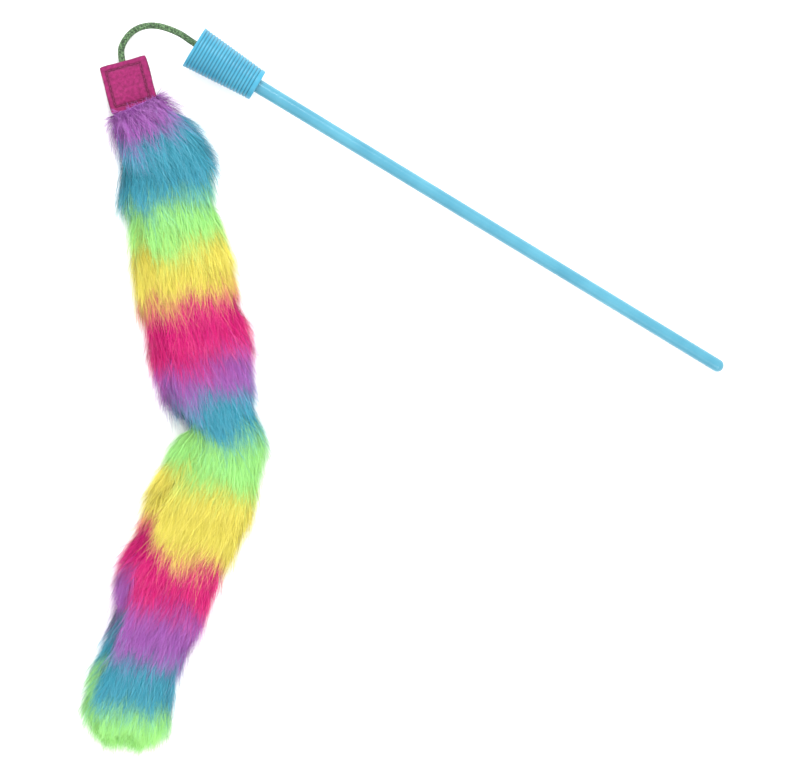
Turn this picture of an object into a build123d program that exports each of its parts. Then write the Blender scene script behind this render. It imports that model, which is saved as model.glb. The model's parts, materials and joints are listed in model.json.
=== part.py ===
from build123d import *
from math import acos, atan2, cos, degrees, hypot, pi, radians, sin, tan
import os

# Cat teaser wand, laid out on a table. A tapered plastic rod is pressed into a ribbed plastic
# cone. A short braided cord is knotted inside the cone and comes out of its wide face. Its other
# end is sewn into a square fabric tab, and the tab is sewn into the end of a long fluffy tail.
#
# Millimetres. +Z is up and the table is z = 0. The wand points along +X. Everything is laid out
# from the foot of the cone's wide face and then moved so that the origin is under the middle.

PLAN_CENTRE = (141.77, -158.70)

# Wand
WAND_LENGTH = 320.0        # wide face of the cone to the tip of the rod
CONE_LENGTH = 38.5
CONE_WIDE_RADIUS = 11.5
CONE_NARROW_RADIUS = 8.3
RIM_LENGTH = 1.6           # smooth band at the wide face
COLLAR_LENGTH = 2.8        # smooth band at the narrow end
RIB_COUNT = 19
RIB_DEPTH = 0.35
RIB_FLANK = 0.4            # length of each side of a groove
FACE_WALL = 3.0            # wall between the wide face and the knot chamber
CHAMBER_RADIUS = 6.6
CHAMBER_END = 15.0         # the rod's inner end closes the chamber here
MOUTH_RADIUS = 3.6         # hole that the cord comes out of
MOUTH_CHAMFER = 0.6
ROD_WIDE_RADIUS = 3.7
ROD_TIP_RADIUS = 3.3
ROD_STRAIGHT = 60.0        # plain cylinder at the tip end
SOCKET_GAP = 0.02          # between rod and socket, round the rod

# Cord
CORD_RADIUS = 1.8
CORD_SIDE_STEP = 1.7       # the cord lies against one side of the mouth
PIVOT_OUT = 2.3            # the cord swings about a point this far outside the face
PIVOT_CLEAR = 0.6          # the cord starts and stops this far from its two pivots
STUB_OUT = 0.9             # how far the knotted end stands out of the face
KNOT_RING_RADIUS = 2.3
KNOT_STARTS = (5.0, 7.6)   # the two turns of the knot, from the face
CORD_CORNERS = (           # between the two pivots, with the heights of a limp cord
    (-11.0, 2.0, 11.0),
    (-24.0, -1.2, 7.0),
    (-31.0, -8.8, 3.4),
    (-32.2, -18.8, 2.2),
)
CORD_END = (-29.3, -24.3, 2.6)
ARC_SHARE = 0.45           # share of the shorter run that a rounded corner takes

# Tab
TAB_WIDTH = 25.0
TAB_LENGTH = 26.0
TAB_CLOTH = 0.8
TAB_GAP = 1.2              # between the two layers, where cord and tail are sewn in
TAB_OUT = 1.9              # from the pivot at the cord's end to the tab's edge
TAB_TURN = -43.0           # plan direction of the tab, in degrees from +X
TAB_RISE = 12.0            # the tab climbs from the table into the tail
TAB_CORNER = 0.8
FLAT_END = (14.0, 5.0)     # flattened end of the cord inside the tab
TONGUE = (14.0, 20.0)      # end of the tail's cloth, sewn into the tab
TONGUE_INSIDE = 9.0        # how much of it is between the tab's layers
SEAM_INSET = 4.0
STITCH_LENGTH = 2.1
STITCH_WIDTH = 0.5
STITCH_END_ROUND = 0.22
STITCH_PITCH = 2.8
STITCH_RISE = 0.3

# Tail
TAIL_WIDTH = 42.0
TAIL_HEIGHT = 24.0
TAIL_TOP_ROUND = 9.0
TAIL_FOOT_ROUND = 5.0
TAIL_ROUTE = ((9.2, -54.8), (85.8, -135.1), (116.2, -158.4), (146.6, -307.9))
TAIL_ROUTE_RADII = (200.0, 46.0)
TAIL_COUNT = 7
HINGE_GAP = 0.5            # between the round end of one length and the hollow end before it
HORN_TRIM = 11.0           # the hollow end's points are cut off this far before the hinge
FAR = 400.0                # longer than the tail, for half-space cuts

# The wand rests on the rim of the cone and on the tip of the rod.
tip_run = WAND_LENGTH - ROD_TIP_RADIUS
lean = hypot(CONE_WIDE_RADIUS, tip_run)
WAND_TILT = degrees(acos(ROD_TIP_RADIUS / lean) - atan2(tip_run, CONE_WIDE_RADIUS))
AXIS_HEIGHT = CONE_WIDE_RADIUS * cos(radians(WAND_TILT))
wand_place = Pos(0, 0, AXIS_HEIGHT) * Rot(0, WAND_TILT, 0)


def turned(outline):
    """Solid made by turning an outline of (along, radius) edges about the wand's axis."""
    return revolve(make_face(Plane.XZ * outline), Axis.X)


def rod_of_radius(start, end, radius, side=0.0):
    """Cylinder along the wand's axis."""
    return Pos((start + end) / 2, side, 0) * Rot(0, 90, 0) * Cylinder(radius, end - start)


def make_rod():
    straight_start = WAND_LENGTH - ROD_STRAIGHT
    side = Polyline(
        (tip_run, ROD_TIP_RADIUS),
        (straight_start, ROD_TIP_RADIUS),
        (CONE_LENGTH, ROD_WIDE_RADIUS),
        (CHAMBER_END, ROD_WIDE_RADIUS),
        (CHAMBER_END, 0),
        (WAND_LENGTH, 0),
    )
    tip = CenterArc((tip_run, 0), ROD_TIP_RADIUS, 0, 90)
    return turned(side + tip)


def cone_radius(along):
    share = along / CONE_LENGTH
    return CONE_WIDE_RADIUS + (CONE_NARROW_RADIUS - CONE_WIDE_RADIUS) * share


def make_cone():
    pitch = (CONE_LENGTH - RIM_LENGTH - COLLAR_LENGTH) / RIB_COUNT
    points = [(0, 0), (0, CONE_WIDE_RADIUS), (RIM_LENGTH, cone_radius(RIM_LENGTH))]
    for rib in range(RIB_COUNT):
        start = RIM_LENGTH + rib * pitch
        first = start + RIB_FLANK
        last = start + pitch - RIB_FLANK
        points.append((start + RIB_FLANK / 2, cone_radius(start) - RIB_DEPTH))
        points.append((first, cone_radius(first)))
        points.append((last, cone_radius(last)))
    points.append((CONE_LENGTH - COLLAR_LENGTH, cone_radius(CONE_LENGTH - COLLAR_LENGTH) - RIB_DEPTH))
    points.append((CONE_LENGTH - COLLAR_LENGTH + RIB_FLANK / 2, cone_radius(CONE_LENGTH - COLLAR_LENGTH)))
    points.append((CONE_LENGTH, CONE_NARROW_RADIUS))
    points.append((CONE_LENGTH, 0))
    cone = turned(Polyline(*points, close=True))
    cone -= rod_of_radius(FACE_WALL, CHAMBER_END, CHAMBER_RADIUS)
    cone -= rod_of_radius(CHAMBER_END, CONE_LENGTH, ROD_WIDE_RADIUS + SOCKET_GAP)
    cone -= rod_of_radius(0, FACE_WALL, MOUTH_RADIUS)
    flare = Cone(MOUTH_RADIUS + MOUTH_CHAMFER, MOUTH_RADIUS, MOUTH_CHAMFER)
    return cone - Pos(MOUTH_CHAMFER / 2, 0, 0) * Rot(0, 90, 0) * flare


def make_knot():
    """Knotted end of the cord: two turns inside the chamber and a stub out through the mouth."""
    inner_end = KNOT_STARTS[-1] + CORD_RADIUS
    knot = rod_of_radius(-STUB_OUT, inner_end, CORD_RADIUS, CORD_SIDE_STEP)
    for start in KNOT_STARTS:
        knot += Pos(start, CORD_SIDE_STEP, 0) * Rot(0, 90, 0) * Torus(KNOT_RING_RADIUS, CORD_RADIUS)
    return knot


def corner_radii(points):
    """Largest radius that each inner corner's two runs leave room for."""
    radii = []
    for before, corner, after in zip(points, points[1:], points[2:]):
        arrive = Vector(corner) - Vector(before)
        leave = Vector(after) - Vector(corner)
        turn = radians(arrive.get_angle(leave))
        radii.append(ARC_SHARE * min(arrive.length, leave.length) / tan(turn / 2))
    return radii


def make_cord():
    """Free stretch of the cord, from just outside the cone to just outside the tab."""
    pivot = wand_place * Pos(-PIVOT_OUT, CORD_SIDE_STEP, 0)
    first = Vector(pivot.position)
    last = Vector(CORD_END)
    first += (Vector(CORD_CORNERS[0]) - first).normalized() * PIVOT_CLEAR
    last += (Vector(CORD_CORNERS[-1]) - last).normalized() * PIVOT_CLEAR
    points = [first, *CORD_CORNERS, last]
    radii = corner_radii(points)
    path = FilletPolyline(*points, radius=radii)
    tube = sweep(Plane(origin=path @ 0, z_dir=path % 0) * Circle(CORD_RADIUS), path=path)
    print("cord radii", [round(radius, 1) for radius in radii], "length", round(path.length, 2))
    print("cord volume", round(tube.volume, 2), "section x length",
          round(pi * CORD_RADIUS ** 2 * path.length, 2))
    return tube


def tab_frame():
    """Local frame of the tab: x down its length, y across, z out of its cloth."""
    turn = radians(TAB_TURN)
    rise = radians(TAB_RISE)
    along = Vector(cos(turn) * cos(rise), sin(turn) * cos(rise), sin(rise))
    across = Vector(-sin(turn), cos(turn), 0)
    start = Vector(CORD_END) + along * TAB_OUT
    return Plane(origin=start, x_dir=along, z_dir=along.cross(across))


def slab(start, size, low, high):
    """Box in the tab's frame, centred across it."""
    box = Box(size[0], size[1], high - low)
    return Pos(start + size[0] / 2, 0, (low + high) / 2) * box


def cloth_layer(low, high):
    layer = slab(0, (TAB_LENGTH, TAB_WIDTH), low, high)
    return fillet(layer.edges().filter_by(Axis.Z), TAB_CORNER)


def make_stitches():
    """One thread stitch after another round a square, on the tab's upper face."""
    half_long = TAB_LENGTH / 2 - SEAM_INSET
    half_wide = TAB_WIDTH / 2 - SEAM_INSET
    top = TAB_GAP / 2 + TAB_CLOTH
    stitches = []
    for half_run, half_off, turn in (
        (half_long, half_wide, 0),
        (half_long, half_wide, 180),
        (half_wide, half_long, 90),
        (half_wide, half_long, 270),
    ):
        count = int((2 * half_run - STITCH_LENGTH) / STITCH_PITCH) + 1
        for index in range(count):
            along = (index - (count - 1) / 2) * STITCH_PITCH
            stitch = Box(STITCH_LENGTH, STITCH_WIDTH, STITCH_RISE)
            stitch = fillet(stitch.edges().filter_by(Axis.Z), STITCH_END_ROUND)
            place = Pos(TAB_LENGTH / 2, 0, top + STITCH_RISE / 2) * Rot(0, 0, turn)
            stitches.append(place * Pos(along, half_off, 0) * stitch)
    return Compound(stitches)


def tail_path():
    return FilletPolyline(*TAIL_ROUTE, radius=list(TAIL_ROUTE_RADII))


def make_tail():
    outline = tail_path().offset_2d(TAIL_WIDTH / 2, kind=Kind.ARC, side=Side.BOTH)
    tail = extrude(make_face(outline), TAIL_HEIGHT)
    tail = fillet(tail.faces().sort_by(Axis.Z)[-1].edges(), TAIL_TOP_ROUND)
    return fillet(tail.faces().sort_by(Axis.Z)[0].edges(), TAIL_FOOT_ROUND)


def tail_hinges():
    """Frame at each hinge: origin on the centre line, x along the tail."""
    path = tail_path()
    total = path.length + TAIL_WIDTH
    hinges = []
    for number in range(1, TAIL_COUNT):
        share = (total * number / TAIL_COUNT - TAIL_WIDTH / 2) / path.length
        hinges.append(Plane(origin=path @ share, x_dir=path % share, z_dir=(0, 0, 1)))
    return hinges


def ahead_of(hinge):
    """Space that belongs to the length after a hinge: a round end and all beyond it."""
    beyond = Pos(FAR / 2, 0, 0) * Box(FAR, FAR, FAR)
    return hinge * (beyond + Cylinder(TAIL_WIDTH / 2, FAR))


def behind(hinge):
    """Space that belongs to the length before a hinge: all behind it, hollowed for the next."""
    back = Pos(-HORN_TRIM - FAR / 2, 0, 0) * Box(FAR, FAR, FAR)
    return hinge * (back - Cylinder(TAIL_WIDTH / 2 + HINGE_GAP, FAR))


def make_tail_lengths(tab):
    tail = make_tail()
    hinges = tail_hinges()
    lengths = []
    for number in range(TAIL_COUNT):
        piece = tail
        if number > 0:
            piece = piece & ahead_of(hinges[number - 1])
        if number < TAIL_COUNT - 1:
            piece = piece & behind(hinges[number])
        lengths.append(piece)
    half = TAB_GAP / 2 + TAB_CLOTH
    pocket = tab * slab(0, (TAB_LENGTH, TAB_WIDTH), -half, half + STITCH_RISE)
    tongue = tab * slab(TAB_LENGTH - TONGUE_INSIDE, TONGUE, -TAB_GAP / 2, TAB_GAP / 2)
    lengths[0] = lengths[0] - pocket + tongue
    return lengths


def build():
    tab = tab_frame()
    outer = TAB_GAP / 2 + TAB_CLOTH
    nodes = {
        "rod": wand_place * make_rod(),
        "ribbed_cone": wand_place * make_cone(),
        "cord_knot": wand_place * make_knot(),
        "cord": make_cord(),
        "cord_sewn_end": tab * slab(0, FLAT_END, -TAB_GAP / 2, TAB_GAP / 2),
        "tab_front": tab * cloth_layer(TAB_GAP / 2, outer),
        "tab_back": tab * cloth_layer(-outer, -TAB_GAP / 2),
        "tab_stitching": tab * make_stitches(),
    }
    for number, piece in enumerate(make_tail_lengths(tab), start=1):
        nodes[f"tail_{number}"] = piece
    return nodes


def main():
    nodes = build()
    shift = Pos(-PLAN_CENTRE[0], -PLAN_CENTRE[1], 0)
    os.makedirs("parts", exist_ok=True)
    for name, shape in nodes.items():
        export_step(shift * shape, f"parts/{name}.step")
    box = Compound([shift * shape for shape in nodes.values()]).bounding_box()
    print("box", box.min, box.max)
    cord_pivot = shift * wand_place * Pos(-PIVOT_OUT, CORD_SIDE_STEP, 0)
    print("cord pivot", cord_pivot.position, "tab pivot", (shift * Pos(*CORD_END)).position)
    print("rod end", (shift * wand_place * Pos(WAND_LENGTH, 0, 0)).position, "tilt", WAND_TILT)
    for number, hinge in enumerate(tail_hinges(), start=1):
        print("hinge", number, (shift * Location(hinge)).position)


main()
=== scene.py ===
import math

import bmesh
import bpy
import numpy as np
from mathutils import Matrix, Vector
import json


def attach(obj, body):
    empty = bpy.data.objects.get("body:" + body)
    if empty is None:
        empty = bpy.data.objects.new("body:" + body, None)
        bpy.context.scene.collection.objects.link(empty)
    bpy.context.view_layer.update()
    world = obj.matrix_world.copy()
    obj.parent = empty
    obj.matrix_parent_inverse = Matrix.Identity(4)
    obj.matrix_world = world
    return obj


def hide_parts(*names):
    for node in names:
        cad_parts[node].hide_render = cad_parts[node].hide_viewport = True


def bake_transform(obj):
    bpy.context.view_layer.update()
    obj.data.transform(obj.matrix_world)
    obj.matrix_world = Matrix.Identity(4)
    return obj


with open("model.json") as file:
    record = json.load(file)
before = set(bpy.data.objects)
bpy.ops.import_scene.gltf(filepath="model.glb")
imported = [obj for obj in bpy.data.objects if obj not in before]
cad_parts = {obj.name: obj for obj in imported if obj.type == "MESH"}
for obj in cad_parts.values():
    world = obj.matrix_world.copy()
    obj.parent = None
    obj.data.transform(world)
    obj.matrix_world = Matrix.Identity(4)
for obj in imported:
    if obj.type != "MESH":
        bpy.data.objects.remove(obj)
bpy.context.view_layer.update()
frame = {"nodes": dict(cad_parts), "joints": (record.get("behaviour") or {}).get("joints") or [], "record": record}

# Cat teaser wand on a pale table, seen from straight above: a light blue rod with a ribbed cone,
# a short braided cord, a stitched cloth tab and a long striped fluffy tail.
# Sizes are in metres, written as millimetres times MM.
MM = 0.001
JOINTS = {joint["name"]: joint for joint in frame["joints"]}

# Wand, in its own frame: x from the cone's wide face to the rod's tip
CONE_LENGTH = 38.5 * MM
CONE_WIDE_RADIUS = 11.5 * MM
CONE_NARROW_RADIUS = 8.3 * MM
RIM_LENGTH = 1.6 * MM
COLLAR_LENGTH = 2.8 * MM
RIB_COUNT = 19
RIB_DEPTH = 0.55 * MM
FACE_WALL = 3.0 * MM
CHAMBER_RADIUS = 6.6 * MM
CHAMBER_END = 15.0 * MM
MOUTH_RADIUS = 3.6 * MM
WAND_LENGTH = 320.0 * MM
ROD_WIDE_RADIUS = 3.7 * MM
ROD_TIP_RADIUS = 3.3 * MM
ROD_STRAIGHT = 60.0 * MM
ROD_MOUNT_AT = 288.35 * MM     # where the record's rod_end mount lies along the wand
TURN_STEPS = 96
RIB_STEPS = 10
RIB_FLATNESS = 0.55            # below 1 the ribs are broad and the grooves narrow
GROOVE_PAINTED_SHADE = 0.55            # painted shade: how much darker a groove is drawn than a crown
PLASTIC_GAIN = 0.72            # the lamps are bright, so the plastic's own colour is held down
FACE_ROUND = 0.4 * MM
COLLAR_ROUND = 0.5 * MM
ROD_PLAY = 0.03 * MM           # gap between the rod and its socket
ROD_STEPS = 24
STRAIGHT_STEPS = 8
TIP_STEPS = 12

# Cord
CORD_RADIUS = 1.8 * MM
PLAN_CENTRE = Vector((141.77, -158.70, 0.0))
CORD_ROUTE = (                 # from inside the cone to the tab, in the part's own layout, in mm
    (2.0, 1.7, 11.44),
    (-2.3, 1.7, 11.556),
    (-11.0, 2.4, 11.0),
    (-24.2, -0.6, 7.0),
    (-32.0, -8.4, 3.4),
    (-33.0, -19.0, 2.2),
    (-29.3, -24.3, 2.6),
    (-27.3, -26.3, 3.2),
)
YARNS = 8                      # yarns wound each way round the cord
YARN_PITCH = 12.0 * MM
YARN_WIDTH = 1.1 * MM
YARN_THICK = 0.5 * MM
YARN_WAVE = 0.16 * MM          # how far a yarn goes over and under the ones it crosses
YARN_STEP = 0.25 * MM
CORE_RADIUS = 1.25 * MM
NO_OFFSET = (1e-7, 0.0)        # a centre so near the line that it only gives a direction
KNOT_AT = 8.2                  # mm from the cone's face; the knot is one turn of wavy braid
KNOT_THICK = 1.9
KNOT_RADIUS = 2.9
KNOT_SWELL = 1.0
KNOT_WAVES = 1.5
KNOT_STEPS = 96
KNOT_LENGTH = 17.0 * MM
TAB_END_STRETCH = 2.5 * MM     # length of the cord's last stretch, made as a piece of its own

# Tab, in its own frame: x down its length from the cord's end, y across, z out of its cloth
TAB_WIDTH = 25.0 * MM
TAB_LENGTH = 26.0 * MM
TAB_CLOTH = 0.8 * MM
TAB_GAP = 1.2 * MM
TAB_OUT = 1.9 * MM
TAB_TURN = math.radians(-43.0)
TAB_RISE = math.radians(12.0)
TAB_STEP = 0.25 * MM
TAB_CORNER = 0.35 * MM
SEAM_LEFT = 2.9 * MM
SEAM_RIGHT = 3.9 * MM
SEAM_TOP = 3.1 * MM
SEAM_FOOT = 3.4 * MM
SEAM_DIP = 0.42 * MM
STITCH_PITCH = 2.6 * MM
STITCH_LENGTH = 2.0 * MM
STITCH_SLANT = 0.06
STITCH_STEPS = 9
THREAD_RADIUS = 0.24 * MM
TAB_SLACK = 0.22 * MM          # how far the cloth stands up inside its seam
TAB_FOLD = 0.16 * MM
CORD_BULGE = 0.75 * MM         # rise of the cloth over the cord's end
CLOTH_ROUND = 0.35 * MM
WEAVE_SCALE = 26.0
SEAM_PAINTED_SHADE = 0.55              # painted shade: how much darker the cloth is drawn in its seam and at its rim

# Tail: centre line and half width of the cloth under the fur, in mm
TAIL_LINE = (
    (-152.0, 117.0, 12.0),
    (-145.5, 112.5, 12.5),
    (-138.5, 109.0, 14.5),
    (-131.0, 104.5, 17.0),
    (-125.0, 99.5, 18.5),
    (-119.0, 92.0, 19.0),
    (-112.0, 84.5, 17.5),
    (-97.0, 69.0, 20.0),
    (-84.0, 53.5, 20.0),
    (-76.5, 45.0, 18.5),
    (-62.0, 31.0, 20.0),
    (-47.5, 15.5, 17.5),
    (-36.5, 8.0, 12.0),
    (-29.0, 1.5, 13.5),
    (-25.5, -4.5, 15.5),
    (-21.5, -17.5, 18.0),
    (-17.5, -36.0, 20.5),
    (-14.0, -60.0, 19.0),
    (-10.5, -82.0, 19.5),
    (-6.0, -99.0, 17.0),
    (-2.5, -117.0, 16.0),
    (1.0, -136.0, 17.0),
    (6.0, -151.0, 17.0),
    (10.0, -160.5, 16.0),
)
TAIL_MIDDLE = 8.6 * MM         # height of the cloth tube's middle
TAIL_UP = 6.8 * MM
TAIL_DOWN = 5.8 * MM
MOUTH_THICK = 1.9 * MM         # half thickness of the cloth where it is sewn to the tab
END_ROUND = 15.0 * MM
OPENING = 24.0 * MM            # how far from the tab the cloth reaches its full thickness
CLOTH_ROWS = 48
CLOTH_COLUMNS = 96

# Fur
OVER_CLUMPS = 3000             # on the upper side of each piece
UNDER_CLUMPS = 1300
OVER_EDGE = 0.35               # radians past the side at which the upper fur ends
STRANDS_PER_CLUMP = 9
STRAND_LENGTH = 21.0 * MM
STRAND_WIDTH = 0.16 * MM
STRAND_RINGS = 4
GUARD_SHARE = 0.06             # longer single hairs that stand out of the rest
OVERHANG = 10.5 * MM           # how far down the tail a stripe shows below its roots
STRIPE_BLEND = 6.0 * MM
STRIPE_FUZZ = 2.4 * MM
MOUTH_FUR = 9.0 * MM           # how far the upright fur at the mouth reaches
END_FUR = 28.0 * MM            # how far the shorter fur at the tail's end reaches
TUFT_SIZE = 17.0 * MM
PARTING_WIDTH = 2.6 * MM       # the fur lies low and apart along the seam
HALF_WIDTH = 19.0 * MM         # the tail's usual half width
ROUND_RADIUS = 13.0 * MM       # turns a clump's width into an angle round the tail
TIP_CEILING = (27.0 * MM, 31.5 * MM)   # the longest hairs lie over rather than stand taller
FUR_LIFT = 24.0                # degrees from the cloth at a strand's root
MOUTH_LIFT = 66.0              # degrees; the fur at the tail's mouth stands up over the tab
COMB_ROUNDS = 500
SEAM_PLACES = (                # distance along the tail in mm, share of its half width, and
    (0, -0.9, 5),              # how far in mm the stripes are out of step across the seam
    (12, -0.9, 5),
    (50, -0.8, 6),
    (78, -0.55, 6),
    (105, -0.64, 4),
    (150, -0.85, 4),
    (166, -0.55, 8),
    (186, -0.5, 12),
    (205, -0.75, 14),
    (243, -0.75, 16),
    (285, -0.85, 17),
    (345, -0.77, 19),
)
STRIPES = (                    # where each stripe after the first starts along the tail, in mm
    16.0, 53.5, 77.0, 103.5, 136.5, 154.0, 181.0, 205.0, 242.0, 271.0, 299.0, 327.0,
)
DYES = (                       # in the order that they follow each other down the tail
    (180, 98, 196),
    (66, 173, 199),
    (178, 253, 140),
    (250, 236, 96),
    (234, 0, 128),
)
BACKING_SHADE_TONE = 1               # which of the tones the cloth under the fur has: a dark one, as painted shade in the gaps between roots
HUE_STEPS = 3                  # tones of dye from one stripe's colour to the next
TONES = (                      # from a strand's root to its tip: brightness, low at the root as painted shade, and share of white
    (0.38, 0.0),
    (0.54, 0.0),
    (0.67, 0.0),
    (0.79, 0.02),
    (0.85, 0.08),
)

# View
VIEW_CENTRE = Vector((39.8, 64.8, 10.0)) * MM
VIEW_WIDTH = 413.1 * MM
VIEW_TURN = math.radians(31.28)
LENS_MM = 400.0
SENSOR_MM = 36.0

# Stage
TABLE_SIZE = 6.0
SKY_STRENGTH = 1.55
LAMPS = (                      # name, place, size and power
    ("key", (-0.55, 1.15, 1.3), 0.9, 25.0),
    ("fill", (1.0, -0.9, 1.5), 1.4, 13.0),
)


def linear(colour, gain=1.0):
    """Display colour from 0 to 255 as the scene's own linear colour."""
    values = []
    for part in colour:
        value = part / 255
        value = value / 12.92 if value <= 0.04045 else ((value + 0.055) / 1.055) ** 2.4
        values.append(value * gain)
    return (*values, 1.0)


# ---- materials


def new_material(name):
    material = bpy.data.materials.new(name)
    material.use_nodes = True
    tree = material.node_tree
    return material, tree.nodes, tree.links, tree.nodes["Principled BSDF"]


def add_bump(nodes, links, shader, height, strength, distance):
    bump = nodes.new("ShaderNodeBump")
    bump.inputs["Strength"].default_value = strength
    bump.inputs["Distance"].default_value = distance
    links.new(height, bump.inputs["Height"])
    links.new(bump.outputs["Normal"], shader.inputs["Normal"])


def add_noise(nodes, links, scale, detail, space="Object"):
    noise = nodes.new("ShaderNodeTexNoise")
    noise.inputs["Scale"].default_value = scale
    noise.inputs["Detail"].default_value = detail
    coordinates = nodes.new("ShaderNodeTexCoord")
    links.new(coordinates.outputs[space], noise.inputs["Vector"])
    return noise.outputs["Fac"]


def add_ramp(nodes, links, factor, stops):
    ramp = nodes.new("ShaderNodeValToRGB")
    elements = ramp.color_ramp.elements
    while len(elements) < len(stops):
        elements.new(1.0)
    for element, (position, colour) in zip(elements, stops):
        element.position = position
        element.color = colour
    links.new(factor, ramp.inputs["Fac"])
    return ramp.outputs["Color"]


def add_math(nodes, links, operation, *values):
    node = nodes.new("ShaderNodeMath")
    node.operation = operation
    for socket, value in zip(node.inputs, values):
        if isinstance(value, (int, float)):
            socket.default_value = value
        else:
            links.new(value, socket)
    return node.outputs[0]


def mesh_value(nodes, name):
    """What a named attribute of the mesh says at a point."""
    node = nodes.new("ShaderNodeAttribute")
    node.attribute_name = name
    return node.outputs["Fac"]


def set_colour(nodes, links, shader, colour, gain):
    """Base colour, made darker or paler from place to place."""
    scale = nodes.new("ShaderNodeVectorMath")
    scale.operation = "SCALE"
    links.new(colour, scale.inputs[0])
    links.new(gain, scale.inputs["Scale"])
    links.new(scale.outputs[0], shader.inputs["Base Color"])


def plastic_material(name, deep, pale, smooth, rough):
    """Moulded plastic, light blue, faintly cloudy, with painted shade in its grooves, and fine scuffs."""
    material, nodes, links, shader = new_material(name)
    cloud = add_noise(nodes, links, 60.0, 4.0)
    colour = add_ramp(nodes, links, cloud, (
        (0.3, linear(deep, PLASTIC_GAIN)),
        (0.7, linear(pale, PLASTIC_GAIN)),
    ))
    # painted shade: the grooves are drawn darker than the crowns
    groove = mesh_value(nodes, "groove")
    gain = add_math(nodes, links, "MULTIPLY_ADD", groove, -GROOVE_PAINTED_SHADE, 1.0)
    set_colour(nodes, links, shader, colour, gain)
    scuff = add_noise(nodes, links, 900.0, 2.0)
    shine = nodes.new("ShaderNodeMapRange")
    shine.inputs["To Min"].default_value = smooth
    shine.inputs["To Max"].default_value = rough
    links.new(scuff, shine.inputs["Value"])
    links.new(shine.outputs["Result"], shader.inputs["Roughness"])
    add_bump(nodes, links, shader, cloud, 0.05, 0.3 * MM)
    return material


def fur_colour(hue, tone):
    """Linear colour of one dye at one of the tones, which run from painted shade at a root to a pale tip; hue
    counts steps through the dyes in order.
    """
    first = linear(DYES[hue // HUE_STEPS % len(DYES)])
    second = linear(DYES[(hue // HUE_STEPS + 1) % len(DYES)])
    share = hue % HUE_STEPS / HUE_STEPS
    gain, white = TONES[tone]
    parts = []
    for a, b in zip(first[:3], second[:3]):
        parts.append(((a + (b - a) * share) * (1 - white) + white) * gain)
    return (*parts, 1.0)


FUR_SHADES = {}


def fur_material(hue, tone):
    """One dye at one tone: the strand material in copies from painted shade to a pale tip. Hundreds of thousands
    of strands in many such tones make the fur.
    """
    if (hue, tone) not in FUR_SHADES:
        material, _, _, shader = new_material(f"fur_shade_{hue}_{tone}")
        shader.inputs["Base Color"].default_value = fur_colour(hue, tone)
        shader.inputs["Roughness"].default_value = 0.62
        shader.inputs["Specular IOR Level"].default_value = 0.2
        shader.inputs["Sheen Weight"].default_value = 0.2
        shader.inputs["Sheen Roughness"].default_value = 0.4
        FUR_SHADES[hue, tone] = material
    return FUR_SHADES[hue, tone]


def backing_material():
    """Knitted cloth that the fur grows from, in the fur's dyes at a dark tone: painted shade for the gaps between
    the roots.
    """
    material, nodes, links, shader = new_material("fur_backing")
    stripe = mesh_value(nodes, "stripe")
    stops = []
    for index, edge in enumerate(STRIPES):
        # painted shade: the backing takes a dark tone of each dye
        before = fur_colour(index * HUE_STEPS, BACKING_SHADE_TONE)
        after = fur_colour((index + 1) * HUE_STEPS, BACKING_SHADE_TONE)
        stops.append(((edge * MM - STRIPE_BLEND) / STRIPE_RANGE, before))
        stops.append(((edge * MM + STRIPE_BLEND) / STRIPE_RANGE, after))
    colour = add_ramp(nodes, links, stripe, stops)
    noise = add_noise(nodes, links, 700.0, 3.0)
    gain = add_math(nodes, links, "MULTIPLY_ADD", noise, 0.6, 0.7)
    set_colour(nodes, links, shader, colour, gain)
    shader.inputs["Roughness"].default_value = 0.9
    shader.inputs["Specular IOR Level"].default_value = 0.1
    return material


def cloth_material(name, dark, pale):
    """Plain weave: threads both ways, with slubs and a little fuzz, and painted shade where the mesh marks its
    seam and rim.
    """
    material, nodes, links, shader = new_material(name)
    coordinates = nodes.new("ShaderNodeTexCoord")
    waves = []
    for axis in ("X", "Y"):
        wave = nodes.new("ShaderNodeTexWave")
        wave.bands_direction = axis
        wave.inputs["Scale"].default_value = WEAVE_SCALE
        wave.inputs["Distortion"].default_value = 1.2
        wave.inputs["Detail"].default_value = 2.0
        wave.inputs["Detail Scale"].default_value = 2.0
        links.new(coordinates.outputs["UV"], wave.inputs["Vector"])
        waves.append(wave.outputs["Fac"])
    weave = add_math(nodes, links, "MULTIPLY", waves[0], waves[1])
    slub = add_noise(nodes, links, 14.0, 5.0, "UV")
    uneven = add_math(nodes, links, "MULTIPLY", slub, 0.6)
    mixed = add_math(nodes, links, "MULTIPLY_ADD", weave, 0.5, uneven)
    colour = add_ramp(nodes, links, mixed, ((0.15, linear(dark)), (0.75, linear(pale))))
    # painted shade in the seam and at the rim
    painted_seam_shade = mesh_value(nodes, "painted_seam_shade")
    gain = add_math(nodes, links, "MULTIPLY_ADD", painted_seam_shade, -SEAM_PAINTED_SHADE, 1.0)
    set_colour(nodes, links, shader, colour, gain)
    shader.inputs["Roughness"].default_value = 0.85
    shader.inputs["Sheen Weight"].default_value = 0.3
    shader.inputs["Specular IOR Level"].default_value = 0.2
    add_bump(nodes, links, shader, mixed, 0.5, 0.15 * MM)
    return material


def yarn_material():
    """Twisted green yarn with dark and pale filaments."""
    material, nodes, links, shader = new_material("green_yarn")
    noise = add_noise(nodes, links, 1300.0, 4.0)
    colour = add_ramp(nodes, links, noise, (
        (0.36, linear((8, 26, 10))),
        (0.5, linear((48, 80, 42))),
        (0.62, linear((106, 142, 96))),
    ))
    links.new(colour, shader.inputs["Base Color"])
    shader.inputs["Roughness"].default_value = 0.75
    shader.inputs["Sheen Weight"].default_value = 0.2
    add_bump(nodes, links, shader, noise, 0.4, 0.1 * MM)
    return material


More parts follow.
